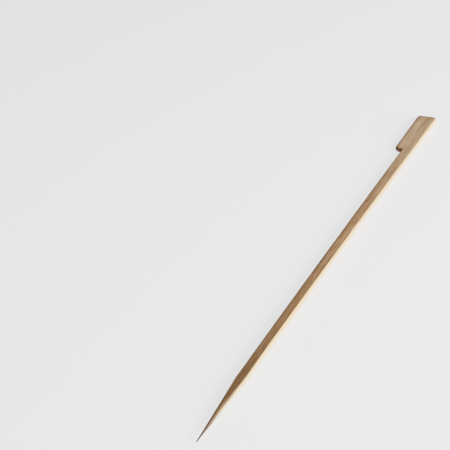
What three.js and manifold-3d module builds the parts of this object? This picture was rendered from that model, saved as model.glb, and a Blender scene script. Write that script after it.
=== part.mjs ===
// Bamboo flag skewer, in millimetres, +Z up.
// One piece of bamboo, lying on its flat underside: +X runs from the point to the flag's end,
// +Y is the side with the shoulder. The origin is the middle of the bounding box's underside.

import * as THREE from "three";
import { mergeVertices } from "three/addons/utils/BufferGeometryUtils.js";
import Module from "manifold-3d";

// Driving dimensions
const LENGTH = 250;
const THICKNESS = 3;
const FLAG_LENGTH = 38;
const FLAG_WIDTH_AT_END = 12.3;
const FLAG_WIDTH_AT_SHOULDER = 11.45;
const SHANK_WIDTH_AT_FLAG = 6.95;
const SHANK_WIDTH_AT_POINT = 4.85;
const BOW = 0.55; // how far the middle stands sideways of a straight line through the ends
const EDGE_REACH = 1.75; // how far the rounding of the sides reaches inwards, before planing
const EDGE_FLAT = 0.2; // upright strip in the middle of each side
const PLANED_OFF = 0.25; // taken off above and below, which leaves a crease by the rounding
const SHOULDER_OUTER_RADIUS = 3.2;
const SHOULDER_INNER_RADIUS = 0.6;
const END_CORNER_RADIUS = 1.9; // the flag's end, seen from above
const END_EASE_RADIUS = 0.4; // the flag's end, seen from the side
const POINT_LENGTH = 31.5;
const POINT_HOLLOW = 1.15; // 1 is a straight cone, more is ground hollow
const NOSE_RADIUS = 0.33;

// Clearances and fineness of the curves
const OVERRUN = 6; // what the blank is longer than the finished piece, at each end
const CUTTER_MARGIN = 4; // how far cutting shapes reach past the blank
const STRAIGHT_WALL = 0.3; // least straight stretch between the shoulder's two fillets
const EDGE_STEPS = 6;
const OUTLINE_STEPS = 10;
const POINT_SIDES = 32;
const POINT_STEPS = 16;
const NOSE_STEPS = 4;
const EASE_STEPS = 5;
const QUARTER_TURN = Math.PI / 2;
const SHORT_OF_QUARTER = THREE.MathUtils.degToRad(82);

const BAMBOO = { color: 0xc8a67c, roughness: 0.62, metalness: 0 };

const TIP_X = -LENGTH / 2;
const END_X = LENGTH / 2;
const SHOULDER_X = END_X - FLAG_LENGTH;

// Plan: the two long edges as formulas, both bowed alike

function bowAt(x) {
  return BOW * (1 - (x / END_X) ** 2);
}

function plainEdge(x) {
  return bowAt(x) - FLAG_WIDTH_AT_END / 2;
}

function flagEdge(x) {
  const share = (x - SHOULDER_X) / FLAG_LENGTH;
  return plainEdge(x) + THREE.MathUtils.lerp(FLAG_WIDTH_AT_SHOULDER, FLAG_WIDTH_AT_END, share);
}

function shankEdge(x) {
  const share = (x - TIP_X) / (SHOULDER_X - TIP_X);
  return plainEdge(x) + THREE.MathUtils.lerp(SHANK_WIDTH_AT_POINT, SHANK_WIDTH_AT_FLAG, share);
}

function shankMiddle(x) {
  return (plainEdge(x) + shankEdge(x)) / 2;
}

// A quadratic curve holds such an edge exactly
function followEdge(outline, edge, from, to) {
  const middle = (from + to) / 2;
  const pull = 2 * edge(middle) - (edge(from) + edge(to)) / 2;
  outline.quadraticCurveTo(middle, pull, to, edge(to));
}

function blankOutline() {
  const start = TIP_X - OVERRUN;
  const end = END_X + OVERRUN;
  const wall = FLAG_WIDTH_AT_SHOULDER - SHANK_WIDTH_AT_FLAG;
  const outerRadius = Math.min(SHOULDER_OUTER_RADIUS, wall - SHOULDER_INNER_RADIUS - STRAIGHT_WALL);
  const outerX = SHOULDER_X + outerRadius;
  const outerY = flagEdge(outerX) - outerRadius;
  const innerX = SHOULDER_X - SHOULDER_INNER_RADIUS;
  const innerY = shankEdge(innerX) + SHOULDER_INNER_RADIUS;
  const outline = new THREE.Shape();
  outline.moveTo(start, plainEdge(start));
  followEdge(outline, plainEdge, start, end);
  outline.lineTo(end, flagEdge(end));
  followEdge(outline, flagEdge, end, outerX);
  outline.absarc(outerX, outerY, outerRadius, QUARTER_TURN, 2 * QUARTER_TURN, false);
  outline.absarc(innerX, innerY, SHOULDER_INNER_RADIUS, 0, -QUARTER_TURN, true);
  followEdge(outline, shankEdge, innerX, start);
  outline.closePath();
  return outline;
}

// The blank: the whole outline with its edges rounded above and below
function blank() {
  const geometry = new THREE.ExtrudeGeometry(blankOutline(), {
    depth: EDGE_FLAT,
    curveSegments: OUTLINE_STEPS,
    bevelThickness: (THICKNESS - EDGE_FLAT) / 2 + PLANED_OFF,
    bevelSize: EDGE_REACH,
    bevelOffset: -EDGE_REACH,
    bevelSegments: EDGE_STEPS,
  });
  return geometry.translate(0, 0, (THICKNESS - EDGE_FLAT) / 2);
}

// A trimming shape that ends square at END_X, with round corners at plus and minus halfWidth.
// With a turn short of a quarter its sides run outwards from the corners, clear of the blank.
function endTrimOutline(halfWidth, radius, turn) {
  const farX = TIP_X - OVERRUN - CUTTER_MARGIN;
  const leaveX = END_X - radius + radius * Math.cos(turn);
  const leaveY = halfWidth - radius + radius * Math.sin(turn);
  const farY = leaveY + (leaveX - farX) * Math.tan(QUARTER_TURN - turn);
  const outline = new THREE.Shape();
  outline.moveTo(farX, farY);
  outline.lineTo(farX, -farY);
  outline.absarc(END_X - radius, radius - halfWidth, radius, -turn, 0, false);
  outline.absarc(END_X - radius, halfWidth - radius, radius, 0, turn, false);
  outline.closePath();
  return outline;
}

function endTrim(outline, depth) {
  const settings = { depth, curveSegments: EASE_STEPS, bevelEnabled: false };
  return new THREE.ExtrudeGeometry(outline, settings).translate(0, 0, -depth / 2);
}

function cornerTrim() {
  const outline = endTrimOutline(FLAG_WIDTH_AT_END / 2, END_CORNER_RADIUS, SHORT_OF_QUARTER);
  return endTrim(outline, THICKNESS + 2 * CUTTER_MARGIN).translate(0, 0, THICKNESS / 2);
}

// Planing, which brings the blank to its thickness and eases the edges of its end
function planing() {
  const outline = endTrimOutline(THICKNESS / 2, END_EASE_RADIUS, QUARTER_TURN);
  const trim = endTrim(outline, 2 * (FLAG_WIDTH_AT_END + CUTTER_MARGIN));
  return trim.rotateX(QUARTER_TURN).translate(0, 0, THICKNESS / 2);
}

// Sharpening, as a turned shape along the shank: a round nose, then a hollow-ground point
// that goes on past the shank's sides, then a wide round that holds the rest.
function pointRadiusAt(x) {
  const growth = SHANK_WIDTH_AT_POINT / 2 - NOSE_RADIUS;
  return NOSE_RADIUS + growth * (x / POINT_LENGTH) ** POINT_HOLLOW;
}

function sharpening() {
  const wide = FLAG_WIDTH_AT_END + CUTTER_MARGIN;
  const profile = [];
  for (let step = 0; step < NOSE_STEPS; step += 1) {
    const angle = (step / NOSE_STEPS) * QUARTER_TURN;
    profile.push(new THREE.Vector2(NOSE_RADIUS * Math.sin(angle), NOSE_RADIUS * (1 - Math.cos(angle))));
  }
  for (let step = 0; pointRadiusAt((step * POINT_LENGTH) / POINT_STEPS) < wide; step += 1) {
    const x = (step * POINT_LENGTH) / POINT_STEPS;
    profile.push(new THREE.Vector2(pointRadiusAt(x), NOSE_RADIUS + x));
  }
  const far = LENGTH + OVERRUN + CUTTER_MARGIN;
  profile.push(new THREE.Vector2(wide, far));
  profile.push(new THREE.Vector2(0, far));
  const sideways = shankMiddle(TIP_X + POINT_LENGTH) - shankMiddle(TIP_X);
  const geometry = new THREE.LatheGeometry(profile, POINT_SIDES);
  geometry.rotateZ(Math.atan2(sideways, POINT_LENGTH) - QUARTER_TURN);
  return geometry.translate(TIP_X, shankMiddle(TIP_X), THICKNESS / 2);
}

// Closed surface to solid and back

function toSolid(wasm, geometry) {
  geometry.deleteAttribute("normal");
  geometry.deleteAttribute("uv");
  const merged = mergeVertices(geometry);
  const vertProperties = new Float32Array(merged.attributes.position.array);
  const triVerts = new Uint32Array(merged.index.array);
  return new wasm.Manifold(new wasm.Mesh({ numProp: 3, vertProperties, triVerts }));
}

function toGeometry(solid) {
  const mesh = solid.getMesh();
  const geometry = new THREE.BufferGeometry();
  geometry.setAttribute("position", new THREE.BufferAttribute(mesh.vertProperties, 3));
  geometry.setIndex(new THREE.BufferAttribute(mesh.triVerts, 1));
  geometry.computeVertexNormals();
  return geometry;
}

async function skewer() {
  const wasm = await Module();
  wasm.setup();
  const cuts = [planing(), cornerTrim(), sharpening()];
  const solid = cuts.reduce((rest, cut) => rest.intersect(toSolid(wasm, cut)), toSolid(wasm, blank()));
  const geometry = toGeometry(solid);
  geometry.computeBoundingBox();
  const { min, max } = geometry.boundingBox;
  const mesh = new THREE.Mesh(geometry, new THREE.MeshStandardMaterial(BAMBOO));
  mesh.name = "skewer";
  mesh.position.set(-(min.x + max.x) / 2, -(min.y + max.y) / 2, -min.z);
  return mesh;
}

const part = new THREE.Group();
part.add(await skewer());

export default part;
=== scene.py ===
"""Looks of a bamboo flag skewer, with its camera, floor and light. Names that end in MM are in
millimetres, and everything handed to Blender is in metres."""

import math

import bpy
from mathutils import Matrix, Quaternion, Vector


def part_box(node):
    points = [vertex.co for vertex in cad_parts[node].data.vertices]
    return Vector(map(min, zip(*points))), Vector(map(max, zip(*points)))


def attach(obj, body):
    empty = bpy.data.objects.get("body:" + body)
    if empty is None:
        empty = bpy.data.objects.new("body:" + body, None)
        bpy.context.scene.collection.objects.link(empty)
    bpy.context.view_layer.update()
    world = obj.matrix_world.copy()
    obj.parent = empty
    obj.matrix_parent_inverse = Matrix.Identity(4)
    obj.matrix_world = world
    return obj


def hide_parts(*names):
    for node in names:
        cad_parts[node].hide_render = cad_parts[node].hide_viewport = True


MM = 0.001

# Sizes of the skewer, as it is cut
FLAG_LENGTH_MM = 38
FLAG_WIDTH_AT_END_MM = 12.3
FLAG_WIDTH_AT_SHOULDER_MM = 11.45
SHANK_WIDTH_AT_FLAG_MM = 6.95
SHANK_WIDTH_AT_POINT_MM = 4.85
BOW_MM = 0.55
EDGE_REACH_MM = 1.75
PLANED_OFF_MM = 0.25
SHOULDER_OUTER_RADIUS_MM = 3.2
SHOULDER_INNER_RADIUS_MM = 0.6
END_CORNER_RADIUS_MM = 1.9
END_EASE_RADIUS_MM = 0.4
POINT_LENGTH_MM = 31.5
POINT_HOLLOW = 1.15  # 1 is a straight cone, more is ground hollow
NOSE_RADIUS_MM = 0.33

# Fineness of its mesh. Ribs are the rings of vertices round it, and each stretch of the shoulder's
# side, from the tip, has its length and the distance between its ribs.
RIB_STRETCHES_MM = (
    (1, 0.07),
    (39, 0.6),
    (168, 1.3),
    (14, 0.16),
    (31, 1.1),
    (1.5, 0.1),
    (0.5, 0.04),
)
FIRST_RIB_MM = 0.01
RIB_LEAD_MM = 0.15  # how far the ribs run ahead on the plain side at each bend of the shoulder
AROUND = 180  # vertices in a rib
FLAT_SHARE = 0.34  # share of the way round that one flat face takes
CORNER_STEPS = 14
CREASE_ANGLE = math.radians(14)

# Shallow grooves between the fibres, as the planed surface shows them
FIBRE_RELIEF_MM = 0.035
FIBRE_LENGTH_MM = 45
FIBRE_WIDTH_MM = 0.5
FINE_FIBRES = 2.7  # how many times finer the fine fibres are than the coarse ones
COARSE_SHARE = 0.6
GROOVE_NOISE = (0.62, 0.35)  # noise at which a groove begins, and at which it is deepest
SMOOTH_BY_WALL_MM = (1.2, 2.4)  # from the shoulder's wall, where the grooves begin and are whole

# Colours of the bamboo
POINT_WOOD = (0.08, 0.0455, 0.0198)
SHANK_WOOD = (0.226, 0.129, 0.06)
FLAG_WOOD = (0.382, 0.237, 0.117)
# Painted highlight: a pale colour on the plain side, which faces the key light
PAINTED_HIGHLIGHT = (0.9, 0.57, 0.115)
# Painted shade: a dark colour on the shoulder's side, which faces away from the key light
SHOULDER_SIDE_PAINTED_SHADE = (0.06, 0.031, 0.014)
BUNDLE = (0.07, 0.036, 0.016)
TIP_TONE = (0.03, 0.02, 0.014)
# Painted shade: a dark line along the eased edge at the flag's end
END_PAINTED_SHADE = (0.09, 0.062, 0.04)
# Painted shade: a dark line along the flat face's edge by the shoulder's side
EDGE_PAINTED_SHADE = (0.085, 0.055, 0.034)

# How much of each of these colours covers the one below it, where it is strongest
HIGHLIGHT_SHARE = 0.95
SHOULDER_SIDE_SHADE_SHARE = 0.8
BUNDLE_SHARE = 0.45
BUNDLE_SHARE_IN_HIGHLIGHT = 0.2
TIP_SHARE = 0.95
END_SHADE_SHARE = 0.8
EDGE_SHADE_SHARE = 0.8

# Where the colours change, as pairs of where one begins and where it is whole
FLAG_WOOD_FROM_MIDDLE = (0.3, 0.85)  # shares of the way from the middle to the flag's end
END_SHADE_MM = (0.9, 0.35)  # painted shade on the eased edge, before the flag's end
EDGE_SHADE_ACROSS = (0.16, 0.02)  # painted shade along the flat face's edge by the shoulder's side, in shares of its width from that side
HIGHLIGHT_EDGE_MM = (0.5, 1.0)  # heights at which the painted highlight of the plain side begins, so its lower edge stays darker as painted shade
HIGHLIGHT_FROM_TIP_MM = (9, 18)  # from the tip, up to where there is no painted highlight, and where it is whole
BROWN_EDGE_MM = (33, 55)  # from the tip, where the brown over the plain side thins, and is gone
BROWN_EDGE_REACH = 0.4  # how far up the plain side's rounding that brown reaches, as a share
HIGHLIGHT_RISE = 0.3  # share of the plain side's rounding in which the painted highlight begins
SHOULDER_SIDE_SHADE_RISE = 0.5  # the same for the painted shade of the shoulder's side
DARK_TIP_MM = 14
DARK_END_MM = 9
SHADED_ACROSS = 0.4  # share of the flat face's width that darkens towards the shoulder's side

# Patterns of the bamboo, each with its length and its width
BUNDLE_SIZE_MM = (28, 0.85)
DRIFT_SIZE_MM = (35, 6)
STREAK_SIZE_MM = (60, 0.28)
CLOUD_SIZE_MM = (6, 0.9)
BAND_SIZE_MM = (120, 1.8)
BUNDLE_DRIFT = 0.6  # how far the bundles wander, in their own widths
BUNDLE_RANDOMNESS = 0.9
BUNDLE_RADII = (0.42, 0.2)  # in cells of the pattern, where a bundle begins and where it is whole

# Factors of the wood's brightness at both ends of each pattern, and at its darkest edges
NOISE_RANGE = (0.3, 0.7)  # values that nearly all of a noise lies between
STREAK_TONES = (0.7, 1.34)
CLOUD_TONES = (0.79, 1.24)
BAND_TONES = (0.87, 1.16)
HIGHLIGHT_TONES = (0.9, 1.1)
SHADE_AT_END = 0.74
SHADE_BY_SHOULDER_SIDE = 0.88

# Its surface
ROUGHNESS = (0.5, 0.66)  # at both ends of the streaks
GROUND_ROUGHNESS = 0.1  # what grinding adds
SPECULAR = 0.22
BUMP_STRENGTH = 0.5
BUMP_DEPTH_MM = 0.06
BUNDLE_DIP = 0.35

# The camera stands at the photograph's viewing angle
EYE_MM = (-229.03, -140.2, 225.02)
AIM_MM = (-7.71, 60.74, 3)
CAMERA_ROLL = math.radians(-13.944)
LENS_MM = 55.62
NEAREST_SEEN_MM = 10

# Floor and light, in metres and watts
FLOOR_SIZE = 8
FLOOR_WHITE = 0.95
FLOOR_ROUGHNESS = 0.9
FLOOR_GLOW = 2.3
KEY_LIGHT = {"place": (-0.12, -0.8, 0.26), "size": 0.4, "power": 34}
TOP_LIGHT = {"place": (0.0, -0.35, 1.1), "size": 0.8, "power": 5}
ROOM_LIGHT = 0.2

# A mix node has sockets for several kinds of value. A colour mix uses those with these numbers.
MIX_SHARE, MIX_FIRST, MIX_SECOND = 0, 6, 7
MIX_RESULT = 2

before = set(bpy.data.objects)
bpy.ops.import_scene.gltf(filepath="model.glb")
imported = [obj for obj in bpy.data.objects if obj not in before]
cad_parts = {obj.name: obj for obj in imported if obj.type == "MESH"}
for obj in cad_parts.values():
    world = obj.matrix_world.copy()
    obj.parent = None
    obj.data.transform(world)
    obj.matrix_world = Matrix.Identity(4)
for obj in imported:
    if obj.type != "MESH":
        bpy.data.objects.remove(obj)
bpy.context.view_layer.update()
low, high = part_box("skewer")


def in_metres(lengths_mm):
    return [length * MM for length in lengths_mm]


def link(tree, socket, value):
    """Joins a socket to another one, or sets its plain value."""
    if isinstance(value, bpy.types.NodeSocket):
        tree.links.new(value, socket)
    else:
        socket.default_value = value


def node(tree, kind, values=None, **settings):
    """Adds a node. Its values are given by the name or the number of their sockets."""
    made = tree.nodes.new(kind)
    for name, setting in settings.items():
        setattr(made, name, setting)
    for name, value in (values or {}).items():
        link(tree, made.inputs[name], value)
    return made


def through(tree, kind, geometry, values=None, **settings):
    """Adds a node that geometry passes through."""
    return node(tree, kind, {"Geometry": geometry, **(values or {})}, **settings).outputs[0]


def calc(tree, operation, *values):
    return node(tree, "ShaderNodeMath", dict(enumerate(values)), operation=operation).outputs[0]


def vector(tree, operation, *values):
    made = node(tree, "ShaderNodeVectorMath", dict(enumerate(values)), operation=operation)
    return made.outputs["Value" if operation == "LENGTH" else "Vector"]


def scaled(tree, direction, factor):
    made = node(tree, "ShaderNodeVectorMath", {0: direction, "Scale": factor}, operation="SCALE")
    return made.outputs["Vector"]


def spread(tree, value, start, end, low_value=0.0, high_value=1.0):
    """Maps start to end onto low_value to high_value, and stays within them."""
    values = {
        "Value": value,
        "From Min": start,
        "From Max": end,
        "To Min": low_value,
        "To Max": high_value,
    }
    return node(tree, "ShaderNodeMapRange", values).outputs["Result"]


def separate(tree, value):
    return node(tree, "ShaderNodeSeparateXYZ", {0: value}).outputs


def combine(tree, *values):
    return node(tree, "ShaderNodeCombineXYZ", dict(enumerate(values))).outputs[0]


def noise(tree, place, detail, scale=1.0):
    values = {"Vector": place, "Scale": scale, "Detail": detail}
    return node(tree, "ShaderNodeTexNoise", values).outputs["Fac"]


# Plan of the skewer: its plain side and its shoulder side, as straight lines with corners

def plan_of_the_sides():
    start = low.x + FIRST_RIB_MM * MM
    end = high.x
    shoulder = end - FLAG_LENGTH_MM * MM
    plain = -FLAG_WIDTH_AT_END_MM * MM / 2
    corners = [
        (start, plain, 0),
        (end, plain, 0),
        (start, plain + SHANK_WIDTH_AT_POINT_MM * MM, 0),
        (shoulder, plain + SHANK_WIDTH_AT_FLAG_MM * MM, SHOULDER_INNER_RADIUS_MM * MM),
        (shoulder, plain + FLAG_WIDTH_AT_SHOULDER_MM * MM, SHOULDER_OUTER_RADIUS_MM * MM),
        (end, plain + FLAG_WIDTH_AT_END_MM * MM, 0),
    ]
    lines = [(0, 1), (2, 3), (3, 4), (4, 5)]
    mesh = bpy.data.meshes.new("skewer_plan")
    mesh.from_pydata([(x, y, 0) for x, y, radius in corners], lines, [])
    radii = mesh.attributes.new("corner_radius", "FLOAT", "POINT")
    radii.data.foreach_set("value", [radius for x, y, radius in corners])
    return mesh


def rib_places():
    """Points of a curve from a rib's share of all ribs to its share of the side's length, and the
    number of ribs."""
    total = sum(length for length, step in RIB_STRETCHES_MM)
    ribs = sum(length / step for length, step in RIB_STRETCHES_MM)
    places = [(0, 0)]
    for length, step in RIB_STRETCHES_MM:
        rib_share, length_share = places[-1]
        places.append((rib_share + length / step / ribs, length_share + length / total))
    return places, round(ribs)


def skewer_sizes():
    """The sizes that the skewer's tree takes as inputs."""
    shank_length = high.x - low.x - FLAG_LENGTH_MM * MM
    taper = (SHANK_WIDTH_AT_FLAG_MM - SHANK_WIDTH_AT_POINT_MM) * MM
    return {
        "Thickness": high.z - low.z,
        "Edge Reach": EDGE_REACH_MM * MM,
        "Planed Off": PLANED_OFF_MM * MM,
        "Bow": BOW_MM * MM,
        "Half Length": (high.x - low.x) / 2,
        "Half Width": FLAG_WIDTH_AT_END_MM * MM / 2,
        "End Corner Radius": END_CORNER_RADIUS_MM * MM,
        "End Ease Radius": END_EASE_RADIUS_MM * MM,
        "Point Length": POINT_LENGTH_MM * MM,
        "Point Radius": SHANK_WIDTH_AT_POINT_MM * MM / 2,
        "Point Hollow": POINT_HOLLOW,
        "Nose Radius": NOSE_RADIUS_MM * MM,
        "Middle Slope": taper / 2 / shank_length,
        "Wall Place": high.x - FLAG_LENGTH_MM * MM,
        "Relief": FIBRE_RELIEF_MM * MM,
        "Fibre Length": FIBRE_LENGTH_MM * MM,
        "Fibre Width": FIBRE_WIDTH_MM * MM,
    }


def level_on_plain_side(tree, along):
    """Share of the plain side's length for a share of the shoulder side's, so that no two ribs
    cross: a rib's end on the plain side hardly moves on while its other end follows the wall."""
    thickness = (high.z - low.z) / MM
    length = (high.x - low.x) / MM
    lean = math.asin(thickness / (thickness + 2 * PLANED_OFF_MM))
    inset = EDGE_REACH_MM * (1 - math.cos(lean))
    shank = length - FLAG_LENGTH_MM
    inner, outer = SHOULDER_INNER_RADIUS_MM, SHOULDER_OUTER_RADIUS_MM
    wall = FLAG_WIDTH_AT_SHOULDER_MM - SHANK_WIDTH_AT_FLAG_MM - inner - outer
    ways = (
        shank - inner,
        inner * math.pi / 2,
        wall,
        outer * math.pi / 2,
        FLAG_LENGTH_MM - outer,
    )
    levels = (
        0,
        shank - inner,
        shank + inset + RIB_LEAD_MM,
        shank + inset + 2 * RIB_LEAD_MM,
        shank + outer + 4 * RIB_LEAD_MM,
        length,
    )
    total = sum(ways)
    share = 0.0
    for index, way in enumerate(ways):
        start = sum(ways[:index]) / total
        climb = (levels[index + 1] - levels[index]) / length
        climbed = spread(tree, along, start, start + way / total, 0.0, climb)
        share = calc(tree, "ADD", share, climbed)
    return share


def length_share(tree, along):
    """Share of the shoulder side's length at which a rib stands, for its share of all ribs."""
    places, _ = rib_places()
    curve = node(tree, "ShaderNodeFloatCurve", {"Value": along})
    points = curve.mapping.curves[0].points
    points[0].location, points[1].location = places[0], places[-1]
    for place in places[1:-1]:
        points.new(*place)
    for point in points:
        point.handle_type = "VECTOR"
    curve.mapping.update()
    return curve.outputs[0]


def side_at(tree, sides, index, share):
    """Place on one side at a share of its length, and the direction to its left there."""
    values = {"Curves": sides, "Factor": share, "Curve Index": index}
    made = node(tree, "GeometryNodeSampleCurve", values, mode="FACTOR", use_all_curves=False)
    left = vector(tree, "CROSS_PRODUCT", (0, 0, 1), made.outputs["Tangent"])
    return made.outputs["Position"], left


def round_end(tree, x, half_length, radius):
    """How far a surface is drawn in by the rounding of the end, at each x."""
    begins = calc(tree, "SUBTRACT", half_length, radius)
    past = calc(tree, "MAXIMUM", calc(tree, "SUBTRACT", x, begins), 0.0)
    radius_square = calc(tree, "MULTIPLY", radius, radius)
    square = calc(tree, "SUBTRACT", radius_square, calc(tree, "MULTIPLY", past, past))
    left_over = calc(tree, "SQRT", calc(tree, "MAXIMUM", square, 0.0))
    return calc(tree, "SUBTRACT", radius, left_over)


def section_places(tree, size, sides, along, turn):
    """The slat's surface: flat faces between rounded sides, with both ends still square, then
    half its thickness, and two values that place the painted highlight and painted shade: side is 0
    on the flat faces, 1 in the middle of the plain side and -1 in the middle of the shoulder's
    side, and across goes from 0 at the shoulder's side to 1 at the plain side."""
    share = length_share(tree, along)
    plain, plain_left = side_at(tree, sides, 0, level_on_plain_side(tree, share))
    shoulder, shoulder_left = side_at(tree, sides, 1, share)
    half = calc(tree, "MULTIPLY", size["Thickness"], 0.5)
    full = calc(tree, "ADD", half, size["Planed Off"])
    widest = calc(tree, "ARCSINE", calc(tree, "DIVIDE", half, full))
    top = spread(tree, turn, 0.0, FLAT_SHARE)
    shoulder_edge = spread(tree, turn, FLAT_SHARE, 0.5)
    bottom = spread(tree, turn, 0.5, 0.5 + FLAT_SHARE)
    plain_edge = spread(tree, turn, 0.5 + FLAT_SHARE, 1.0)
    across = calc(tree, "ADD", calc(tree, "SUBTRACT", 1.0, top), bottom)
    swing = calc(tree, "SUBTRACT", plain_edge, shoulder_edge)
    angle = calc(tree, "MULTIPLY", widest, calc(tree, "MULTIPLY_ADD", swing, 2.0, 1.0))
    turned_in = calc(tree, "SUBTRACT", 1.0, calc(tree, "COSINE", angle))
    inset = calc(tree, "MULTIPLY", size["Edge Reach"], turned_in)
    most_turned_in = calc(tree, "SUBTRACT", 1.0, calc(tree, "COSINE", widest))
    out = calc(tree, "SUBTRACT", 1.0, calc(tree, "DIVIDE", turned_in, most_turned_in))
    on_plain_side = calc(tree, "GREATER_THAN", turn, 0.5)
    side = calc(tree, "MULTIPLY", out, calc(tree, "MULTIPLY_ADD", on_plain_side, 2.0, -1.0))
    height = calc(tree, "MULTIPLY_ADD", calc(tree, "SINE", angle), full, half)
    from_shoulder = vector(tree, "SUBTRACT", shoulder, scaled(tree, shoulder_left, inset))
    from_plain = vector(tree, "ADD", plain, scaled(tree, plain_left, inset))
    gap = vector(tree, "SUBTRACT", from_plain, from_shoulder)
    flat = vector(tree, "ADD", from_shoulder, scaled(tree, gap, across))
    return vector(tree, "ADD", flat, combine(tree, 0.0, 0.0, height)), half, side, across


def eased_end(tree, size, place, half):
    """Draws the square end's corners and edges in."""
    x, y, z = separate(tree, place)
    corner = round_end(tree, x, size["Half Length"], size["End Corner Radius"])
    ease = round_end(tree, x, size["Half Length"], size["End Ease Radius"])
    narrowing = calc(tree, "SUBTRACT", 1.0, calc(tree, "DIVIDE", corner, size["Half Width"]))
    x = calc(tree, "MINIMUM", x, size["Half Length"])
    y = calc(tree, "MULTIPLY", y, narrowing)
    limit = calc(tree, "SUBTRACT", half, ease)
    under_limit = calc(tree, "MULTIPLY", limit, -1.0)
    off_middle = calc(tree, "SUBTRACT", z, half)
    kept = calc(tree, "MAXIMUM", calc(tree, "MINIMUM", off_middle, limit), under_limit)
    return combine(tree, x, y, calc(tree, "ADD", kept, half))


def point_radius(tree, size, from_tip):
    """Radius of the ground point at each distance from the tip: a round nose, then the cone."""
    nose = size["Nose Radius"]
    rise = calc(tree, "MINIMUM", from_tip, nose)
    twice = calc(tree, "SUBTRACT", calc(tree, "MULTIPLY", nose, 2.0), rise)
    dome = calc(tree, "SQRT", calc(tree, "MULTIPLY", rise, twice))
    past = calc(tree, "MAXIMUM", calc(tree, "SUBTRACT", from_tip, nose), 0.0)
    way = calc(tree, "DIVIDE", past, size["Point Length"])
    share = calc(tree, "POWER", way, size["Point Hollow"])
    growth = calc(tree, "SUBTRACT", size["Point Radius"], nose)
    return calc(tree, "MULTIPLY_ADD", growth, share, dome)


def sharpened(tree, size, place, half):
    """Draws the surface in to the hollow-ground point, and says how much was ground off."""
    x, y, z = separate(tree, place)
    from_tip = calc(tree, "ADD", x, size["Half Length"])
    first_middle = calc(tree, "SUBTRACT", size["Point Radius"], size["Half Width"])
    middle = calc(tree, "MULTIPLY_ADD", from_tip, size["Middle Slope"], first_middle)
    sideways = calc(tree, "SUBTRACT", y, middle)
    upwards = calc(tree, "SUBTRACT", z, half)
    distance = vector(tree, "LENGTH", combine(tree, 0.0, sideways, upwards))
    radius = point_radius(tree, size, from_tip)
    share = calc(tree, "MINIMUM", calc(tree, "DIVIDE", radius, distance), 1.0)
    y = calc(tree, "MULTIPLY_ADD", sideways, share, middle)
    z = calc(tree, "MULTIPLY_ADD", upwards, share, half)
    return combine(tree, x, y, z), calc(tree, "SUBTRACT", 1.0, share)


def bowed(tree, size, place):
    """Moves the surface sideways, most in the middle of its length."""
    x, y, z = separate(tree, place)
    share = calc(tree, "DIVIDE", x, size["Half Length"])
    left_over = calc(tree, "SUBTRACT", 1.0, calc(tree, "MULTIPLY", share, share))
    bow = calc(tree, "MULTIPLY", size["Bow"], left_over)
    return combine(tree, x, calc(tree, "ADD", y, bow), z)


def fibre_grooves(tree, size):
    """Depth of the shallow grooves between fibres, from 0 to 1, at each place. There are none at
    the flag's end and beside the shoulder's wall."""
    place = node(tree, "GeometryNodeInputPosition").outputs[0]
    length = calc(tree, "DIVIDE", 1.0, size["Fibre Length"])
    width = calc(tree, "DIVIDE", 1.0, size["Fibre Width"])
    in_fibres = vector(tree, "MULTIPLY", place, combine(tree, length, width, width))
    coarse = calc(tree, "MULTIPLY", noise(tree, in_fibres, 1.0), COARSE_SHARE)
    fine = calc(tree, "MULTIPLY", noise(tree, in_fibres, 1.0, FINE_FIBRES), 1 - COARSE_SHARE)
    grooves = spread(tree, calc(tree, "ADD", coarse, fine), *GROOVE_NOISE)
    x, y, z = separate(tree, place)
    plain_end = calc(tree, "SUBTRACT", size["Half Length"], size["End Corner Radius"])
    run_out = calc(tree, "SUBTRACT", plain_end, size["End Corner Radius"])
    from_wall = calc(tree, "ABSOLUTE", calc(tree, "SUBTRACT", x, size["Wall Place"]))
    off_wall = spread(tree, from_wall, *in_metres(SMOOTH_BY_WALL_MM))
    off_end = spread(tree, x, plain_end, run_out)
    return calc(tree, "MULTIPLY", grooves, calc(tree, "MULTIPLY", off_end, off_wall))


def with_crisp_creases(tree, geometry):
    angle = node(tree, "GeometryNodeInputMeshEdgeAngle").outputs["Unsigned Angle"]
    compared = {0: angle, 1: CREASE_ANGLE}
    sharp = node(tree, "FunctionNodeCompare", compared, operation="GREATER_THAN").outputs[0]
    creased = {"Selection": sharp, "Shade Smooth": False}
    return through(tree, "GeometryNodeSetShadeSmooth", geometry, creased, domain="EDGE")


def stored(tree, geometry, name, value):
    values = {"Name": name, "Value": value}
    return through(tree, "GeometryNodeStoreNamedAttribute", geometry, values, data_type="FLOAT")


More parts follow.
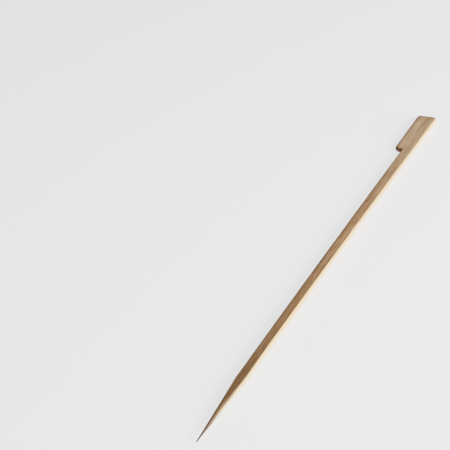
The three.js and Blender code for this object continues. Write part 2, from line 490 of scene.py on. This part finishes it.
def skewer_tree(material):
    """Lofts ribs between the two sides of the plan, then eases, sharpens, bows and grooves."""
    tree = bpy.data.node_groups.new("skewer_form", "GeometryNodeTree")
    for way in ("INPUT", "OUTPUT"):
        tree.interface.new_socket(name="Geometry", in_out=way, socket_type="NodeSocketGeometry")
    for name in skewer_sizes():
        tree.interface.new_socket(name=name, in_out="INPUT", socket_type="NodeSocketFloat")
    size = node(tree, "NodeGroupInput").outputs
    lines = node(tree, "GeometryNodeMeshToCurve", {"Mesh": size["Geometry"]}).outputs[0]
    named = {"Name": "corner_radius"}
    radius = node(tree, "GeometryNodeInputNamedAttribute", named, data_type="FLOAT").outputs[0]
    rounding = {"Curve": lines, "Count": CORNER_STEPS, "Radius": radius}
    sides = node(tree, "GeometryNodeFilletCurve", rounding, mode="POLY").outputs[0]
    _, ribs = rib_places()
    tube_sizes = {"Vertices": AROUND, "Side Segments": ribs, "Radius": 1.0, "Depth": 1.0}
    tube = node(tree, "GeometryNodeMeshCylinder", tube_sizes, fill_type="NGON").outputs["Mesh"]
    x, y, z = separate(tree, node(tree, "GeometryNodeInputPosition").outputs[0])
    along = calc(tree, "ADD", z, 0.5)
    turn = calc(tree, "MULTIPLY_ADD", calc(tree, "ARCTAN2", y, x), -0.5 / math.pi, 0.5)
    place, half, side, across = section_places(tree, size, sides, along, turn)
    place = eased_end(tree, size, place, half)
    place, ground = sharpened(tree, size, place, half)
    place = bowed(tree, size, place)
    body = stored(tree, tube, "ground_off", ground)
    body = stored(tree, body, "side", side)
    body = stored(tree, body, "across", across)
    body = through(tree, "GeometryNodeSetPosition", body, {"Position": place})
    depth = calc(tree, "MULTIPLY", fibre_grooves(tree, size), size["Relief"])
    normal = node(tree, "GeometryNodeInputNormal").outputs[0]
    inwards = scaled(tree, normal, calc(tree, "MULTIPLY", depth, -1.0))
    body = through(tree, "GeometryNodeSetPosition", body, {"Offset": inwards})
    body = through(tree, "GeometryNodeSetShadeSmooth", body, domain="FACE")
    body = with_crisp_creases(tree, body)
    body = through(tree, "GeometryNodeRealizeInstances", body)
    body = through(tree, "GeometryNodeSetMaterial", body, {"Material": material})
    node(tree, "NodeGroupOutput", {"Geometry": body})
    return tree


def plain_mesh(piece):
    """Turns what the piece's modifiers make into its own mesh."""
    evaluated = piece.evaluated_get(bpy.context.evaluated_depsgraph_get())
    mesh = bpy.data.meshes.new_from_object(evaluated)
    piece.modifiers.clear()
    piece.data = mesh


def skewer_piece(material):
    piece = bpy.data.objects.new("bamboo_skewer", plan_of_the_sides())
    bpy.context.scene.collection.objects.link(piece)
    form = piece.modifiers.new("form", "NODES")
    form.node_group = skewer_tree(material)
    sizes = skewer_sizes()
    for socket in form.node_group.interface.items_tree:
        if socket.name in sizes:
            form[socket.identifier] = sizes[socket.name]
    plain_mesh(piece)
    sideways = [vertex.co.y for vertex in piece.data.vertices]
    off_middle = (low.y + high.y) / 2 - (max(sideways) + min(sideways)) / 2
    for vertex in piece.data.vertices:
        vertex.co.y += off_middle
    return piece


# Bamboo: long fibre bundles in paler wood, the same all through, so that they show as streaks along
# the faces, as long ovals on the ground point and as dots on the end

def stretched(tree, place, length_mm, width_mm):
    """Coordinates in which a cell of a pattern is one unit long and wide."""
    length, width = in_metres((length_mm, width_mm))
    return vector(tree, "MULTIPLY", place, (1 / length, 1 / width, 1 / width))


def mixed(tree, share, first, second, blend="MIX"):
    """Mixes two colours, each a socket or three plain values."""
    made = node(tree, "ShaderNodeMix", {MIX_SHARE: share}, data_type="RGBA", blend_type=blend)
    for socket, colour in ((MIX_FIRST, first), (MIX_SECOND, second)):
        joined = isinstance(colour, bpy.types.NodeSocket)
        link(tree, made.inputs[socket], colour if joined else (*colour, 1))
    return made.outputs[MIX_RESULT]


def attribute(tree, name):
    made = node(tree, "ShaderNodeAttribute", attribute_name=name, attribute_type="GEOMETRY")
    return made.outputs["Fac"]


def brightened(tree, colour, factor):
    """A colour times a value, which may vary."""
    grey = combine(tree, factor, factor, factor)
    return mixed(tree, 1.0, colour, grey, "MULTIPLY")


def fibre_bundles(tree, place):
    """1 in a fibre bundle and 0 in the wood between."""
    values = {"Vector": stretched(tree, place, *DRIFT_SIZE_MM), "Scale": 1.0, "Detail": 1.0}
    drift = node(tree, "ShaderNodeTexNoise", values).outputs["Color"]
    shifted = vector(tree, "SUBTRACT", drift, (0.5, 0.5, 0.5))
    straight = stretched(tree, place, *BUNDLE_SIZE_MM)
    wavy = vector(tree, "MULTIPLY_ADD", shifted, (0.0, BUNDLE_DRIFT, BUNDLE_DRIFT), straight)
    values = {"Vector": wavy, "Scale": 1.0, "Randomness": BUNDLE_RANDOMNESS}
    cells = node(tree, "ShaderNodeTexVoronoi", values).outputs["Distance"]
    return spread(tree, cells, *BUNDLE_RADII)


def bamboo_patterns(tree, place):
    return {
        "bundles": fibre_bundles(tree, place),
        "streaks": noise(tree, stretched(tree, place, *STREAK_SIZE_MM), 3.0),
        "clouds": noise(tree, stretched(tree, place, *CLOUD_SIZE_MM), 3.0),
        "bands": noise(tree, stretched(tree, place, *BAND_SIZE_MM), 2.0),
    }


def planed_wood(tree, patterns, x, across):
    """Colour of the flat faces, which pales from the point to the flag."""
    flag_wood_places = [share * high.x for share in FLAG_WOOD_FROM_MIDDLE]
    wood = mixed(tree, spread(tree, x, low.x, 0.0), POINT_WOOD, SHANK_WOOD)
    wood = mixed(tree, spread(tree, x, *flag_wood_places), wood, FLAG_WOOD)
    wood = mixed(tree, calc(tree, "MULTIPLY", patterns["bundles"], BUNDLE_SHARE), wood, BUNDLE)
    for name, tones in (("bands", BAND_TONES), ("clouds", CLOUD_TONES), ("streaks", STREAK_TONES)):
        wood = brightened(tree, wood, spread(tree, patterns[name], *NOISE_RANGE, *tones))
    by_end = spread(tree, x, high.x - DARK_END_MM * MM, high.x, 1.0, SHADE_AT_END)
    wood = brightened(tree, wood, by_end)
    by_side = spread(tree, across, 0.0, SHADED_ACROSS, SHADE_BY_SHOULDER_SIDE, 1.0)
    wood = brightened(tree, wood, by_side)
    # Painted shade: a dark line along the edge by the shoulder's side, which faces away from the
    # key light
    on_shaded_edge = spread(tree, across, *EDGE_SHADE_ACROSS, 0.0, EDGE_SHADE_SHARE)
    return mixed(tree, on_shaded_edge, wood, EDGE_PAINTED_SHADE)


def painted_highlight_colour(tree, patterns):
    """Colour of the painted highlight on the plain side, which faces the key light, with streaks
    and bundles in it.
    """
    tones = spread(tree, patterns["streaks"], *NOISE_RANGE, *HIGHLIGHT_TONES)
    bundles = calc(tree, "MULTIPLY", patterns["bundles"], BUNDLE_SHARE_IN_HIGHLIGHT)
    return mixed(tree, bundles, brightened(tree, PAINTED_HIGHLIGHT, tones), BUNDLE)


def painted_highlight_share(tree, side, from_tip, z):
    """How much painted highlight the plain side gets: none on the point, none by the underside,
    which stays darker as painted shade, and less where the brown of the top reaches over the edge."""
    over_edge = spread(tree, from_tip, *in_metres(BROWN_EDGE_MM), BROWN_EDGE_REACH, 0.0)
    past_edge = calc(tree, "SUBTRACT", side, over_edge)
    share = spread(tree, past_edge, 0.0, HIGHLIGHT_RISE, 0.0, HIGHLIGHT_SHARE)
    off_point = spread(tree, from_tip, *in_metres(HIGHLIGHT_FROM_TIP_MM))
    off_underside = spread(tree, z, *in_metres(HIGHLIGHT_EDGE_MM))
    return calc(tree, "MULTIPLY", calc(tree, "MULTIPLY", share, off_point), off_underside)


def bamboo():
    material = bpy.data.materials.new("bamboo")
    material.use_nodes = True
    tree = material.node_tree
    shader = tree.nodes["Principled BSDF"]
    place = node(tree, "ShaderNodeTexCoord").outputs["Object"]
    patterns = bamboo_patterns(tree, place)
    x, y, z = separate(tree, place)
    from_tip = calc(tree, "SUBTRACT", x, low.x)
    side = attribute(tree, "side")

    wood = planed_wood(tree, patterns, x, attribute(tree, "across"))
    # Painted highlight on the plain side, which faces the key light
    wood = mixed(tree, painted_highlight_share(tree, side, from_tip, z), wood, painted_highlight_colour(tree, patterns))
    # Painted shade on the shoulder's side, which faces away from the key light
    shoulder_side_shade = spread(tree, side, 0.0, -SHOULDER_SIDE_SHADE_RISE, 0.0, SHOULDER_SIDE_SHADE_SHARE)
    wood = mixed(tree, shoulder_side_shade, wood, SHOULDER_SIDE_PAINTED_SHADE)
    by_tip = spread(tree, from_tip, DARK_TIP_MM * MM, 0.0, 0.0, TIP_SHARE)
    wood = mixed(tree, by_tip, wood, TIP_TONE)
    # Painted shade along the eased edge at the flag's end
    end_shade_places = [high.x - before_end for before_end in in_metres(END_SHADE_MM)]
    wood = mixed(tree, spread(tree, x, *end_shade_places, 0.0, END_SHADE_SHARE), wood, END_PAINTED_SHADE)
    link(tree, shader.inputs["Base Color"], wood)

    planed = spread(tree, patterns["streaks"], *NOISE_RANGE, *ROUGHNESS)
    ground = calc(tree, "MULTIPLY", attribute(tree, "ground_off"), GROUND_ROUGHNESS)
    link(tree, shader.inputs["Roughness"], calc(tree, "ADD", planed, ground))
    shader.inputs["Specular IOR Level"].default_value = SPECULAR
    dips = calc(tree, "MULTIPLY", patterns["bundles"], BUNDLE_DIP)
    height = calc(tree, "SUBTRACT", patterns["streaks"], dips)
    values = {"Height": height, "Strength": BUMP_STRENGTH, "Distance": BUMP_DEPTH_MM * MM}
    bump = node(tree, "ShaderNodeBump", values)
    link(tree, shader.inputs["Normal"], bump.outputs["Normal"])
    return material


def aimed(place, aim, roll=0.0):
    """Rotation that looks from place to aim, turned about the line of sight."""
    ahead = Vector(aim) - Vector(place)
    return ahead.to_track_quat("-Z", "Y") @ Quaternion((0, 0, 1), roll)


def camera():
    data = bpy.data.cameras.new("camera")
    data.lens = LENS_MM
    data.clip_start = NEAREST_SEEN_MM * MM
    seen = bpy.data.objects.new("camera", data)
    seen.location = Vector(EYE_MM) * MM
    seen.rotation_mode = "QUATERNION"
    seen.rotation_quaternion = aimed(EYE_MM, AIM_MM, CAMERA_ROLL)
    bpy.context.scene.collection.objects.link(seen)
    bpy.context.scene.camera = seen


def area_light(name, place, size, power):
    data = bpy.data.lights.new(name, "AREA")
    data.size = size
    data.energy = power
    lamp = bpy.data.objects.new(name, data)
    lamp.location = place
    lamp.rotation_mode = "QUATERNION"
    lamp.rotation_quaternion = aimed(place, (0, 0, 0))
    bpy.context.scene.collection.objects.link(lamp)


def room():
    world = bpy.data.worlds.new("room")
    world.use_nodes = True
    backdrop = world.node_tree.nodes["Background"]
    backdrop.inputs["Color"].default_value = (1, 1, 1, 1)
    backdrop.inputs["Strength"].default_value = ROOM_LIGHT
    bpy.context.scene.world = world
    area_light("key_light", **KEY_LIGHT)
    area_light("top_light", **TOP_LIGHT)


def floor():
    half = FLOOR_SIZE / 2
    corners = [(-half, -half, 0), (half, -half, 0), (half, half, 0), (-half, half, 0)]
    mesh = bpy.data.meshes.new("floor")
    mesh.from_pydata(corners, [], [(0, 1, 2, 3)])
    material = bpy.data.materials.new("pale_floor")
    material.use_nodes = True
    shader = material.node_tree.nodes["Principled BSDF"]
    shader.inputs["Base Color"].default_value = (FLOOR_WHITE, FLOOR_WHITE, FLOOR_WHITE, 1)
    shader.inputs["Roughness"].default_value = FLOOR_ROUGHNESS
    shader.inputs["Emission Color"].default_value = (1, 1, 1, 1)
    shader.inputs["Emission Strength"].default_value = FLOOR_GLOW
    mesh.materials.append(material)
    ground = bpy.data.objects.new("floor", mesh)
    bpy.context.scene.collection.objects.link(ground)


camera()
room()
floor()
skewer = skewer_piece(bamboo())
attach(skewer, "root")
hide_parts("skewer")
